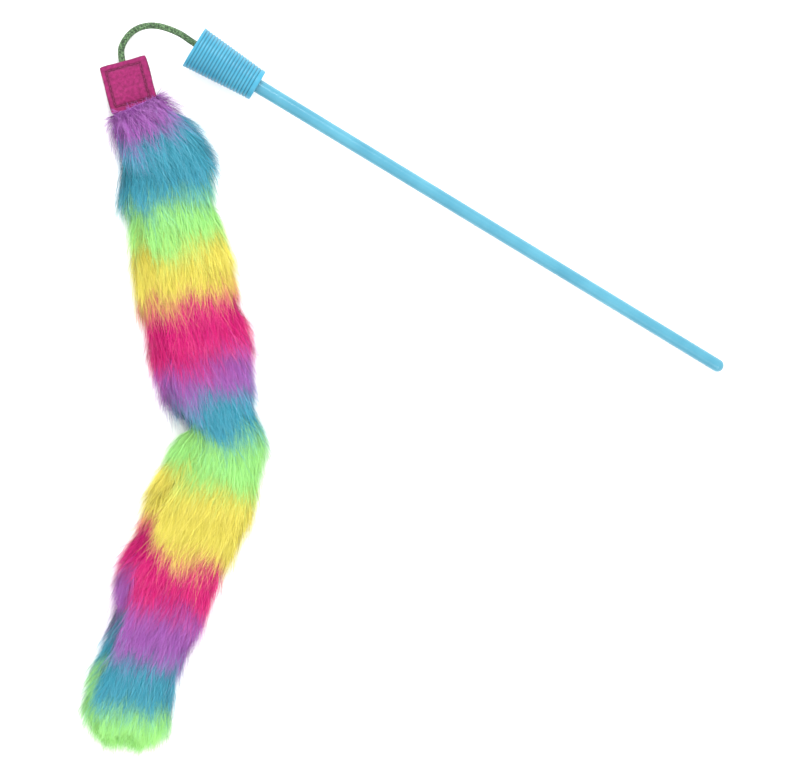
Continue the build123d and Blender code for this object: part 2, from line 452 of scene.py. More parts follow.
def thread_material():
    """Sewing thread: dark magenta, with the turns of its plies."""
    material, nodes, links, shader = new_material("magenta_thread")
    noise = add_noise(nodes, links, 2500.0, 3.0)
    colour = add_ramp(nodes, links, noise, (
        (0.35, linear((78, 0, 44))),
        (0.65, linear((140, 14, 84))),
    ))
    links.new(colour, shader.inputs["Base Color"])
    shader.inputs["Roughness"].default_value = 0.55
    add_bump(nodes, links, shader, noise, 0.3, 0.05 * MM)
    return material


def table_material():
    material, nodes, links, shader = new_material("pale_table")
    noise = add_noise(nodes, links, 8.0, 2.0)
    colour = add_ramp(nodes, links, noise, (
        (0.0, (0.93, 0.93, 0.93, 1)),
        (1.0, (0.95, 0.95, 0.95, 1)),
    ))
    links.new(colour, shader.inputs["Base Color"])
    shader.inputs["Roughness"].default_value = 0.9
    shader.inputs["Specular IOR Level"].default_value = 0.0
    return material


# ---- mesh helpers


def unit(vectors):
    return vectors / np.maximum(np.linalg.norm(vectors, axis=-1, keepdims=True), 1e-12)


def new_object(name, mesh, material):
    obj = bpy.data.objects.new(name, mesh)
    bpy.context.scene.collection.objects.link(obj)
    mesh.materials.append(material)
    mesh.polygons.foreach_set("use_smooth", np.ones(len(mesh.polygons), bool))
    return obj


def add_values(mesh, name, values):
    """A value at each point of a mesh, for its material to read."""
    attribute = mesh.attributes.new(name, "FLOAT", "POINT")
    attribute.data.foreach_set("value", np.asarray(values, np.float32).ravel())


def grid_mesh(name, points, wrapped=True):
    """Mesh over a grid of points, rows by columns; wrapped joins the first and last columns."""
    rows, columns = points.shape[:2]
    mesh = bpy.data.meshes.new(name)
    across = columns if wrapped else columns - 1
    row, column = np.meshgrid(np.arange(rows - 1), np.arange(across), indexing="ij")
    next_row = row + 1
    next_column = (column + 1) % columns
    faces = np.stack([
        row * columns + column,
        row * columns + next_column,
        next_row * columns + next_column,
        next_row * columns + column,
    ], axis=-1).reshape(-1, 4)
    mesh.from_pydata(points.reshape(-1, 3).tolist(), [], faces.tolist())
    mesh.update()
    return mesh


def turned_mesh(name, profile, place):
    """Mesh of (along, radius) points turned about the local x axis; ends on the axis close it."""
    angles = np.linspace(0, 2 * math.pi, TURN_STEPS, endpoint=False)
    profile = np.array(profile)
    rings = np.zeros((len(profile), TURN_STEPS, 3))
    rings[:, :, 0] = profile[:, :1]
    rings[:, :, 1] = profile[:, 1:] * np.cos(angles)
    rings[:, :, 2] = profile[:, 1:] * np.sin(angles)
    mesh = grid_mesh(name, rings)
    mesh.transform(place)
    return mesh


def welded(mesh, distance=1e-6):
    """Merges points that coincide, so that grids close where their rows meet."""
    work = bmesh.new()
    work.from_mesh(mesh)
    bmesh.ops.remove_doubles(work, verts=work.verts, dist=distance)
    bmesh.ops.recalc_face_normals(work, faces=work.faces)
    work.to_mesh(mesh)
    work.free()
    return mesh


# ---- wand


def wand_frame():
    """The wand's own frame, from the mount at the rod's end."""
    mount = frame["record"]["mounts"][0]
    along = Vector(mount["axis"]).normalized()
    across = Vector((0, 1, 0))
    up = along.cross(across)
    turn = Matrix((along, across, up)).transposed().to_4x4()
    origin = Vector(mount["pos_m"]) - along * ROD_MOUNT_AT
    return Matrix.Translation(origin) @ turn


def cone_radius(along):
    return CONE_WIDE_RADIUS + (CONE_NARROW_RADIUS - CONE_WIDE_RADIUS) * along / CONE_LENGTH


def rounded(corners, radius, steps=4):
    """Profile with each inner corner replaced by a short curve."""
    points = [corners[0]]
    for before, corner, after in zip(corners, corners[1:], corners[2:]):
        a, b, c = (np.array(p) for p in (before, corner, after))
        cut = min(radius, 0.45 * np.linalg.norm(a - b), 0.45 * np.linalg.norm(c - b))
        start = b + (a - b) / np.linalg.norm(a - b) * cut
        end = b + (c - b) / np.linalg.norm(c - b) * cut
        for step in range(steps + 1):
            t = step / steps
            points.append(tuple((1 - t) ** 2 * start + 2 * t * (1 - t) * b + t ** 2 * end))
    points.append(corners[-1])
    return points


def rib_crown(share):
    """Height of a rib across its pitch, from 0 in the groove to 1 on the crown."""
    return math.sin(math.pi * share) ** RIB_FLATNESS


def mark_grooves(mesh, place):
    """Marks how deep each point of the cone's outside lies in a groove, for the painted shade there."""
    back = place.inverted()
    ribs_end = CONE_LENGTH - COLLAR_LENGTH
    values = []
    for vertex in mesh.vertices:
        point = back @ vertex.co
        radius = math.hypot(point.y, point.z)
        below = (cone_radius(point.x) - radius) / RIB_DEPTH
        ribbed = RIM_LENGTH * 0.9 < point.x < ribs_end * 1.01 and below < 1.2
        values.append(max(0.0, below) if ribbed else 0.0)
    add_values(mesh, "groove", values)


def make_cone(place, material):
    """The ribbed cone with its cord mouth, knot chamber and rod socket."""
    pitch = (CONE_LENGTH - RIM_LENGTH - COLLAR_LENGTH) / RIB_COUNT
    face = [(FACE_WALL, MOUTH_RADIUS), (0, MOUTH_RADIUS), (0, CONE_WIDE_RADIUS)]
    profile = rounded(face + [(RIM_LENGTH, cone_radius(RIM_LENGTH))], FACE_ROUND)
    for rib in range(RIB_COUNT):
        for step in range(RIB_STEPS):
            share = step / RIB_STEPS
            along = RIM_LENGTH + (rib + share) * pitch
            profile.append((along, cone_radius(along) - RIB_DEPTH * (1 - rib_crown(share))))
    collar = CONE_LENGTH - COLLAR_LENGTH
    profile += rounded([
        (collar, cone_radius(collar) - RIB_DEPTH),
        (collar + 0.25 * MM, cone_radius(collar)),
        (CONE_LENGTH, CONE_NARROW_RADIUS),
        (CONE_LENGTH, ROD_WIDE_RADIUS + ROD_PLAY),
        (CHAMBER_END, ROD_WIDE_RADIUS + ROD_PLAY),
        (CHAMBER_END, CHAMBER_RADIUS),
        (FACE_WALL, CHAMBER_RADIUS),
        (FACE_WALL, MOUTH_RADIUS),
    ], COLLAR_ROUND)
    mesh = welded(turned_mesh("wand_cone", profile, place))
    mark_grooves(mesh, place)
    cone = new_object("wand_cone", mesh, material)
    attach(cone, "wand")
    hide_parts("ribbed_cone")


def make_rod(place, material):
    """The tapered rod, from its end in the cone to its round tip."""
    profile = [(CHAMBER_END, 0.0), (CHAMBER_END, ROD_WIDE_RADIUS)]
    straight = WAND_LENGTH - ROD_STRAIGHT
    tip = WAND_LENGTH - ROD_TIP_RADIUS
    for along in np.linspace(CONE_LENGTH, straight, ROD_STEPS):
        share = (along - CONE_LENGTH) / (straight - CONE_LENGTH)
        profile.append((along, ROD_WIDE_RADIUS + (ROD_TIP_RADIUS - ROD_WIDE_RADIUS) * share))
    for along in np.linspace(straight, tip, STRAIGHT_STEPS)[1:]:
        profile.append((along, ROD_TIP_RADIUS))
    for step in range(1, TIP_STEPS + 1):
        angle = math.pi / 2 * step / TIP_STEPS
        radius = ROD_TIP_RADIUS * math.cos(angle) if step < TIP_STEPS else 0.0
        profile.append((tip + ROD_TIP_RADIUS * math.sin(angle), radius))
    mesh = welded(turned_mesh("wand_rod", profile, place))
    rod = new_object("wand_rod", mesh, material)
    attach(rod, "wand")
    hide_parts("rod")


# ---- cord


def route_points():
    return [(Vector(point) - PLAN_CENTRE) * MM for point in CORD_ROUTE]


def spline_line(name, points):
    """Points read from the smooth NURBS curve that has the given control points."""
    curve = bpy.data.curves.new(name, "CURVE")
    curve.dimensions = "3D"
    curve.resolution_u = 24
    spline = curve.splines.new("NURBS")
    spline.points.add(len(points) - 1)
    for target, point in zip(spline.points, points):
        target.co = (*point, 1.0)
    spline.order_u = 3
    spline.use_endpoint_u = True
    holder = bpy.data.objects.new(name, curve)
    bpy.context.scene.collection.objects.link(holder)
    bpy.context.view_layer.update()
    mesh = bpy.data.meshes.new_from_object(holder)
    line = np.array([vertex.co[:] for vertex in mesh.vertices])
    bpy.data.objects.remove(holder)
    bpy.data.meshes.remove(mesh)
    return line


def line_length(line):
    return float(np.linalg.norm(np.diff(line, axis=0), axis=1).sum())


def line_frames(line, step, start, end):
    """Even points between two distances along a line, each with two directions across it."""
    distance = np.concatenate([[0], np.cumsum(np.linalg.norm(np.diff(line, axis=0), axis=1))])
    at = np.arange(start, end + step / 2, step)
    points = np.stack([np.interp(at, distance, column) for column in line.T], axis=1)
    way = unit(np.gradient(points, axis=0))
    first = np.zeros_like(way)
    first[0] = unit(np.cross(way[0], (0, 0, 1)))
    for index in range(1, len(way)):
        carried = first[index - 1] - way[index] * np.dot(first[index - 1], way[index])
        first[index] = unit(carried)
    return at, points, first, np.cross(way, first)


def ring_tube(points, first, second, centre, wide, high, steps):
    """Rings of an oval tube: centre is its offset in (first, second), wide lies round the cord."""
    angles = np.linspace(0, 2 * math.pi, steps, endpoint=False)
    out = unit(centre)
    side = np.stack([-out[:, 1], out[:, 0]], axis=1)
    offset = (centre[:, None, :]
              + out[:, None, :] * (np.sin(angles) * high / 2)[None, :, None]
              + side[:, None, :] * (np.cos(angles) * wide / 2)[None, :, None])
    return (points[:, None, :] + offset[:, :, :1] * first[:, None, :]
            + offset[:, :, 1:] * second[:, None, :])


def joined(name, meshes):
    """One mesh of several."""
    work = bmesh.new()
    for mesh in meshes:
        work.from_mesh(mesh)
        bpy.data.meshes.remove(mesh)
    bmesh.ops.recalc_face_normals(work, faces=work.faces)
    result = bpy.data.meshes.new(name)
    work.to_mesh(result)
    work.free()
    return result


def closed_tube(name, rings):
    """Tube with its ends drawn together."""
    first = rings[:1].mean(axis=1, keepdims=True) + 0 * rings[:1]
    last = rings[-1:].mean(axis=1, keepdims=True) + 0 * rings[-1:]
    return welded(grid_mesh(name, np.concatenate([first, rings, last])), 1e-7)


def braid(name, line, start, end):
    """Round braid: yarns wound both ways over and under each other, round a plain core."""
    at, points, first, second = line_frames(line, YARN_STEP, start, end)
    turn = 2 * math.pi * at / YARN_PITCH
    middle = CORD_RADIUS - YARN_THICK / 2 - YARN_WAVE
    meshes = []
    for way in (1, -1):
        for yarn in range(YARNS):
            angle = way * turn + 2 * math.pi * yarn / YARNS
            radius = middle + way * YARN_WAVE * np.cos(YARNS * turn)
            centre = np.stack([np.cos(angle), np.sin(angle)], axis=1) * radius[:, None]
            rings = ring_tube(points, first, second, centre, YARN_WIDTH, YARN_THICK, 8)
            meshes.append(closed_tube(name, rings))
    centre = np.tile(NO_OFFSET, (len(at), 1))
    rings = ring_tube(points, first, second, centre, 2 * CORE_RADIUS, 2 * CORE_RADIUS, 12)
    meshes.append(closed_tube(name, rings))
    return joined(name, meshes)


def make_cord(material):
    """The cord from the cone to the tab, its last stretch, and its knot inside the cone."""
    route = route_points()
    line = spline_line("cord_line", route)
    total = line_length(line)
    tab_end = Vector(JOINTS["tab_lift"]["pos_m"])
    cut = total - TAB_END_STRETCH - (route[-1] - tab_end).length
    main = new_object("cord_braid", braid("cord_braid", line, 0.0, cut), material)
    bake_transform(main)
    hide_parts("cord")
    last = new_object("cord_tab_end", braid("cord_tab_end", line, cut, total), material)
    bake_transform(last)
    knot_line = []
    for step in range(KNOT_STEPS + 1):
        angle = 2 * math.pi * step / KNOT_STEPS
        around = KNOT_RADIUS + KNOT_SWELL * math.cos(KNOT_WAVES * angle)
        knot_line.append(wand @ (Vector((
            KNOT_AT + KNOT_THICK * math.sin(KNOT_WAVES * angle),
            around * math.cos(angle), around * math.sin(angle),
        )) * MM))
    knot_line = np.array([point[:] for point in knot_line])
    knot = new_object("cord_stopper_knot",
                      braid("cord_stopper_knot", knot_line, 0.0, KNOT_LENGTH), material)
    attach(knot, "wand")
    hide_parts("cord_knot")
    sewn = frame["nodes"]["cord_sewn_end"]
    for slot in sewn.material_slots:
        slot.material = material


# ---- tab


def tab_frame():
    """The tab's own frame: x down the tab from the cord, z out of its front."""
    along = Vector((math.cos(TAB_TURN) * math.cos(TAB_RISE),
                    math.sin(TAB_TURN) * math.cos(TAB_RISE), math.sin(TAB_RISE)))
    across = Vector((-math.sin(TAB_TURN), math.cos(TAB_TURN), 0))
    origin = Vector(JOINTS["tab_lift"]["pos_m"]) + along * TAB_OUT
    turn = Matrix((along, across, along.cross(across))).transposed().to_4x4()
    return Matrix.Translation(origin) @ turn


def seam_box():
    """Low and high corner of the stitched box, along and across the tab."""
    return (np.array([SEAM_TOP, -TAB_WIDTH / 2 + SEAM_LEFT]),
            np.array([TAB_LENGTH - SEAM_FOOT, TAB_WIDTH / 2 - SEAM_RIGHT]))


def seam_distance(x, y):
    """Distance from the stitched box's outline, and distance along it."""
    low, high = seam_box()
    inside_x = np.clip(x, low[0], high[0])
    inside_y = np.clip(y, low[1], high[1])
    outside = np.hypot(x - inside_x, y - inside_y)
    edge_x = np.minimum(x - low[0], high[0] - x)
    edge_y = np.minimum(y - low[1], high[1] - y)
    inside = np.minimum(edge_x, edge_y)
    run = np.where(edge_x < edge_y, y, x)
    return np.where(inside > 0, inside, outside), run


def cloth_height(x, y):
    """Rise of the front cloth: pulled down and puckered along the seam, slack inside it."""
    away, run = seam_distance(x, y)
    pucker = 0.5 + 0.5 * np.cos(2 * math.pi * run / STITCH_PITCH)
    dip = -SEAM_DIP * (0.55 + 0.45 * pucker) * np.exp(-((away / (0.75 * MM)) ** 2))
    slack = TAB_SLACK * (1 - np.exp(-((away / (2.2 * MM)) ** 2)))
    fold = TAB_FOLD * np.sin(x / (2.3 * MM) + 0.6 * np.sin(y / (3.1 * MM)))
    fold += 0.75 * TAB_FOLD * np.sin(y / (1.9 * MM) + x / (5.2 * MM))
    over_cord = CORD_BULGE * np.exp(-((y / (2.2 * MM)) ** 2)) * (1 - eased(x / (6 * MM)))
    return dip + slack + over_cord + fold * (1 - np.exp(-((away / (1.5 * MM)) ** 2)))


def tab_layer(name, low, high, top_shape, place):
    """One layer of cloth as a thin closed slab with soft edges and a slightly uneven outline."""
    rows = int(TAB_LENGTH / TAB_STEP) + 1
    columns = int(TAB_WIDTH / TAB_STEP) + 1
    x, y = np.meshgrid(np.linspace(0, TAB_LENGTH, rows),
                       np.linspace(-TAB_WIDTH / 2, TAB_WIDTH / 2, columns), indexing="ij")
    across = y / (TAB_WIDTH / 2)
    ends = 2 * x / TAB_LENGTH - 1
    corner = 1 - TAB_CORNER / TAB_WIDTH * (np.abs(across) ** 12) * (np.abs(ends) ** 12) * 2
    px = TAB_LENGTH / 2 + (x - TAB_LENGTH / 2) * corner
    py = y * corner
    px = px + 0.18 * MM * np.sin(y / (3.7 * MM) + 1.0) * np.abs(ends) ** 6
    py = py + 0.2 * MM * np.sin(x / (4.1 * MM)) * np.abs(across) ** 6
    rim = np.minimum(TAB_LENGTH / 2 * (1 - np.abs(ends)), TAB_WIDTH / 2 * (1 - np.abs(across)))
    soft = np.sqrt(np.clip(1 - (1 - np.clip(rim / CLOTH_ROUND, 0, 1)) ** 2, 0, 1))
    middle = (low + high) / 2
    shape = cloth_height(x, y)
    top = middle + ((high - middle) + shape * top_shape) * soft
    bottom = middle + ((low - middle) + shape * (top_shape - 1) * 0.6) * soft
    upper = np.stack([px, py, top], axis=-1)
    lower = np.stack([px, py, bottom], axis=-1)
    meshes = []
    for layer in (upper, lower):
        meshes.append(grid_mesh(name, layer, wrapped=False))
    mesh = joined(name, meshes)
    mesh = welded(mesh, 1e-6)
    uv = mesh.uv_layers.new(name="cloth")
    points = np.array([vertex.co[:] for vertex in mesh.vertices])
    corners = np.empty(len(mesh.loops), int)
    mesh.loops.foreach_get("vertex_index", corners)
    uv.data.foreach_set("uv", (points[corners][:, :2] / TAB_WIDTH).astype(np.float32).ravel())
    away, _ = seam_distance(points[:, 0], points[:, 1])
    rim = np.minimum(np.minimum(points[:, 0], TAB_LENGTH - points[:, 0]),
                     TAB_WIDTH / 2 - np.abs(points[:, 1]))
    # painted shade along the seam and round the rim
    painted_seam_shade = np.maximum(np.exp(-((away / (0.7 * MM)) ** 2)), np.exp(-((rim / (0.4 * MM)) ** 2)))
    add_values(mesh, "painted_seam_shade", painted_seam_shade)
    mesh.transform(place)
    return mesh


def make_stitches(place, material):
    """Thread stitches along the box, each a short arch with its ends pulled into the cloth."""
    low, high = seam_box()
    corners = [(low[0], low[1]), (low[0], high[1]), (high[0], high[1]), (high[0], low[1])]
    top = TAB_GAP / 2 + TAB_CLOTH
    rng = np.random.default_rng(77)
    meshes = []
    for start, end in zip(corners, corners[1:] + corners[:1]):
        start, end = np.array(start), np.array(end)
        run = end - start
        length = np.linalg.norm(run)
        way = run / length
        count = int(length / STITCH_PITCH)
        for index in range(count):
            middle = start + way * (index + 0.5) * length / count
            slant = rng.normal(0, STITCH_SLANT)
            turned = np.array([way[0] - slant * way[1], way[1] + slant * way[0]])
            share = np.linspace(-1, 1, STITCH_STEPS)
            x = middle[0] + turned[0] * share * STITCH_LENGTH / 2
            y = middle[1] + turned[1] * share * STITCH_LENGTH / 2
            arch = top - SEAM_DIP * 0.75 + 0.3 * MM - 0.42 * MM * share ** 4
            points = np.stack([x, y, arch], axis=1)
            directions = unit(np.gradient(points, axis=0))
            first = unit(np.cross(directions, (0, 0, 1)))
            second = np.cross(directions, first)
            centre = np.tile(NO_OFFSET, (STITCH_STEPS, 1))
            rings = ring_tube(points, first, second, centre,
                              2 * THREAD_RADIUS, 2 * THREAD_RADIUS, 8)
            meshes.append(closed_tube("stitch", rings))
    mesh = joined("tab_stitches", meshes)
    mesh.transform(place)
    stitches = new_object("tab_stitches", mesh, material)
    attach(stitches, "tail_1")
    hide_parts("tab_stitching")


def make_tab():
    """Two layers of cloth with the cord's end between them, and their stitches."""
    place = tab_frame()
    cloth = cloth_material("magenta_cloth", (78, 0, 46), (162, 36, 106))
    outer = TAB_GAP / 2 + TAB_CLOTH
    for name, low, high, shape, node in (
        ("tab_cloth_front", TAB_GAP / 2, outer, 1, "tab_front"),
        ("tab_cloth_back", -outer, -TAB_GAP / 2, 0, "tab_back"),
    ):
        layer = new_object(name, tab_layer(name, low, high, shape, place), cloth)
        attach(layer, "tail_1")
        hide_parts(node)
    make_stitches(place, thread_material())


# ---- tail


def smooth_line(stations, count=600):
    """Even points along a smooth curve through the stations, the other columns carried along."""
    stations = np.array(stations)
    padded = np.vstack([2 * stations[0] - stations[1], stations, 2 * stations[-1] - stations[-2]])
    pieces = []
    for index in range(len(stations) - 1):
        a, b, c, d = padded[index:index + 4]
        t = np.linspace(0, 1, 40, endpoint=False)[:, None]
        pieces.append(0.5 * (2 * b + (c - a) * t + (2 * a - 5 * b + 4 * c - d) * t ** 2
                             + (3 * b - a - 3 * c + d) * t ** 3))
    line = np.vstack([*pieces, stations[-1:]])
    steps = np.linalg.norm(np.diff(line[:, :2], axis=0), axis=1)
    distance = np.concatenate([[0], np.cumsum(steps)])
    even = np.linspace(0, distance[-1], count)
    return even, np.stack([np.interp(even, distance, column) for column in line.T], axis=1)


LINE_AT, LINE = smooth_line(np.array(TAIL_LINE) * MM)
TAIL_LENGTH = LINE_AT[-1]
STRIPE_RANGE = TAIL_LENGTH + OVERHANG
LINE_WAY = np.gradient(LINE[:, :2], LINE_AT, axis=0)
for _ in range(COMB_ROUNDS):   # the fur is combed down the tail as a whole, not round each bend
    LINE_WAY[1:-1] = (LINE_WAY[:-2] + LINE_WAY[1:-1] + LINE_WAY[2:]) / 3
LINE_WAY /= np.linalg.norm(LINE_WAY, axis=1)[:, None]


def along_line(values, at):
    return np.interp(at, LINE_AT, values)


def eased(value):
    value = np.clip(value, 0, 1)
    return value * value * (3 - 2 * value)


def lumps(at, around, seed, spacing, size=5):
    """Smooth random field over the tail from -1 to 1, without joins round it."""
    rng = np.random.default_rng(seed)
    total = np.zeros(np.broadcast(at, around).shape)
    for _ in range(size):
        turns = rng.integers(0, 4)
        waves = rng.uniform(0.5, 1.5) * 2 * math.pi / spacing
        total = total + np.sin(waves * at + turns * around + rng.uniform(0, 2 * math.pi))
    return total / math.sqrt(size)


def skin(at, around):
    """Point on the tail's cloth: at along the tail, around from its right side over the top."""
    width = along_line(LINE[:, 2], at) * (1 + 0.03 * lumps(at, around, 11, 60 * MM))
    opening = eased(at / OPENING)
    up = MOUTH_THICK + (TAIL_UP - MOUTH_THICK) * opening
    up = up * (1 + 0.08 * lumps(at, 0 * around, 12, 70 * MM))
    down = MOUTH_THICK + (TAIL_DOWN - MOUTH_THICK) * opening
    ending = np.sqrt(np.clip(1 - (np.clip(at - TAIL_LENGTH + END_ROUND, 0, END_ROUND)
                                  / END_ROUND) ** 2, 0.0004, 1))
    width = width * (0.6 + 0.4 * ending)
    up = up * ending
    down = down * ending
    cosine = np.cos(around)
    sine = np.sin(around)
    side = width * np.sign(cosine) * np.abs(cosine) ** 0.85
    rise = np.where(sine > 0, up, down) * np.sign(sine) * np.abs(sine) ** 0.9
    way_x = along_line(LINE_WAY[:, 0], at)
    way_y = along_line(LINE_WAY[:, 1], at)
    x = along_line(LINE[:, 0], at) - way_y * side
    y = along_line(LINE[:, 1], at) + way_x * side
    return np.stack([x, y, TAIL_MIDDLE + rise + 0 * x], axis=-1)


def skin_frame(at, around):
    """Point, outward normal and direction down the tail, on the tail's cloth."""
    point = skin(at, around)
    small = 0.4 * MM
    way = unit(skin(np.minimum(at + small, TAIL_LENGTH), around)
               - skin(np.maximum(at - small, 0), around))
    turn = 0.02
    round_way = unit(skin(at, around + turn) - skin(at, around - turn))
    normal = unit(np.cross(round_way, way))
    down_tail = np.stack([along_line(LINE_WAY[:, 0], at), along_line(LINE_WAY[:, 1], at),
                          np.zeros_like(at)], axis=-1)
    combed = 0.3 * way + 0.7 * down_tail
    combed = unit(combed - normal * np.sum(combed * normal, axis=-1, keepdims=True))
    return point, normal, combed


def seam_side(at):
    """Where the seam runs, as a share of the half width, left of the middle."""
    places, shares, _ = np.array(SEAM_PLACES).T
    return np.interp(at, places * MM, shares)


def seam_step(at):
    """How far the stripes are out of step across the seam."""
    places, _, steps = np.array(SEAM_PLACES).T
    return np.interp(at, places * MM, steps * MM)


def stripe_at(at, around, rng):
    """Distance along the stripes at a root: wavy edges, and a step where the cloth is joined."""
    left_of_seam = (np.cos(around) < seam_side(at)) & (np.sin(around) > -0.3)
    wavy = 2.0 * MM * lumps(at, around, 21, 30 * MM)
    fuzzy = rng.normal(0, STRIPE_FUZZ, np.shape(at))
    tilted = 3.0 * MM * np.cos(around)
    covered = OVERHANG * eased((at + 2 * MM) / (22 * MM))
    return at + covered + wavy + fuzzy + tilted + seam_step(at) * left_of_seam


def dye_hue(stripe):
    """Steps through the dyes in order, for a distance along the stripes."""
    place = np.zeros_like(stripe)
    for edge in STRIPES:
        place += eased((stripe - edge * MM + STRIPE_BLEND) / (2 * STRIPE_BLEND))
    return np.rint(place * HUE_STEPS).astype(int) % (len(DYES) * HUE_STEPS)


def make_cloth_piece(number, start, end, material):
    """One length of the cloth tube, closed at the tail's own ends."""
    at, around = np.meshgrid(
        np.linspace(start, end, CLOTH_ROWS),
        np.linspace(0, 2 * math.pi, CLOTH_COLUMNS, endpoint=False), indexing="ij"
    )
    points = skin(at, around)
    stripes = stripe_at(at, around, np.random.default_rng(500 + number))
    if number == 1:
        closing = points[:1].mean(axis=1, keepdims=True) + 0 * points[:1]
        points = np.concatenate([closing, points])
        stripes = np.concatenate([stripes[:1], stripes])
    if end == TAIL_LENGTH:
        closing = points[-1:].mean(axis=1, keepdims=True) + 0 * points[-1:]
        points = np.concatenate([points, closing])
        stripes = np.concatenate([stripes, stripes[-1:]])
    mesh = grid_mesh(f"tail_cloth_{number}", points)
    add_values(mesh, "stripe", stripes / STRIPE_RANGE)
    welded(mesh)
    return new_object(f"tail_cloth_{number}", mesh, material)


def strand_lines(point, normal, way, lift, fall, swing, bend, length):
    """Points of each strand from root to tip: combed down the tail, lifted, then laid over."""
    across = unit(np.cross(normal, way))
    line = [point]
    for step in range(STRAND_RINGS):
        share = (step + 0.5) / STRAND_RINGS
        aside = (swing + bend * share)[:, None]
        combed = way * np.cos(aside) + across * np.sin(aside)
        angle = (lift * (1 - fall * share))[:, None]
        stride = (length / STRAND_RINGS)[:, None]
        line.append(line[-1] + stride * (combed * np.cos(angle) + normal * np.sin(angle)))
    return np.stack(line, axis=1)


def make_fur_piece(name, seed, start, end, low, high, clumps):
    """Strands rooted between two places along the tail and two places round it, in clumps."""
    rng = np.random.default_rng(seed)
    clump_at = rng.uniform(start, end, clumps)
    clump_around = rng.uniform(low, high, clumps)
    on_top = np.sign(np.sin(clump_around))
    mouth = 1 - eased(clump_at / MOUTH_FUR)
    ending = eased((clump_at - TAIL_LENGTH + END_FUR) / END_FUR)
    tuft = lumps(clump_at, clump_around, 32, TUFT_SIZE)
    off_seam = (np.cos(clump_around) - seam_side(clump_at)) * HALF_WIDTH
    parting = np.exp(-((off_seam / PARTING_WIDTH) ** 2)) * (on_top > 0)
    lift = rng.normal(FUR_LIFT, 7, clumps) + 7 * tuft + MOUTH_LIFT * mouth - 10 * parting
    swing = (rng.normal(0, 7, clumps) + 9 * lumps(clump_at, clump_around, 31, 2 * TUFT_SIZE)
             + 4 * ending * np.cos(clump_around) * on_top
             + 16 * np.sign(off_seam) * parting
             + rng.normal(0, 26, clumps) * mouth)
    bend = rng.normal(0, 13, clumps)
    length = STRAND_LENGTH * np.clip(rng.normal(1, 0.17, clumps), 0.55, 1.5)
    length = length * (1 - 0.5 * mouth) * (1 - 0.3 * ending) * (1 - 0.4 * parting)
    lift = lift + rng.normal(0, 18, clumps) * mouth
    clump = {"lift": np.radians(np.clip(lift, 4, 140)), "fall": 1.1 - 0.85 * mouth,
             "swing": np.radians(swing),
             "bend": np.radians(bend), "length": length,
             # random tone per clump, painted shade in the parting, and the upright strands at the mouth lifted out
             # of the painted root shade
             "tone_and_painted_shade": rng.uniform(-0.5, 0.5, clumps) - 0.9 * parting + 1.5 * mouth}
    owner = np.repeat(np.arange(clumps), STRANDS_PER_CLUMP)
    count = len(owner)
    spread = rng.gamma(2.0, 0.75, clumps)[owner] * MM
    at = np.clip(clump_at[owner] + rng.normal(0, 1, count) * spread, start, end - 1e-6)
    around = clump_around[owner] + rng.normal(0, 1, count) * spread / ROUND_RADIUS
    point, normal, way = skin_frame(at, around)
    guard = rng.uniform(0, 1, count) < GUARD_SHARE
    lines = strand_lines(
        point, normal, way,
        clump["lift"][owner] + np.radians(rng.normal(0, 5, count) + 9 * guard),
        clump["fall"][owner],
        clump["swing"][owner] + np.radians(rng.normal(0, 6, count)),
        clump["bend"][owner] + np.radians(rng.normal(0, 8, count)),
        clump["length"][owner] * rng.uniform(0.7, 1.1, count) * (1 + 0.25 * guard),
    )
    guides = strand_lines(*skin_frame(clump_at, clump_around), clump["lift"], clump["fall"],
                          clump["swing"], clump["bend"], clump["length"])
    share = np.linspace(0, 1, STRAND_RINGS + 1)
    together = rng.uniform(0.05, 0.7, count) * (1 - guard)
    lines += (guides[owner] - lines) * (share ** 1.3)[None, :, None] * together[:, None, None]
    sideways = 1 - np.clip(normal[:, 2:3], 0, 1)
    lines[:, :, 2] -= length[owner][:, None] * share ** 2 * sideways * 0.1
    floor = rng.uniform(0.3, 1.6, count)[:, None] * MM
    ceiling = rng.uniform(*TIP_CEILING, count)[:, None]
    lines[:, :, 2] = np.clip(lines[:, :, 2], floor, ceiling)
    hue = dye_hue(stripe_at(at, around, rng))
    tone_and_painted_shade = clump["tone_and_painted_shade"][owner] + rng.normal(0, 0.6, count)
    return strand_mesh(name, lines, normal, hue, tone_and_painted_shade, rng)


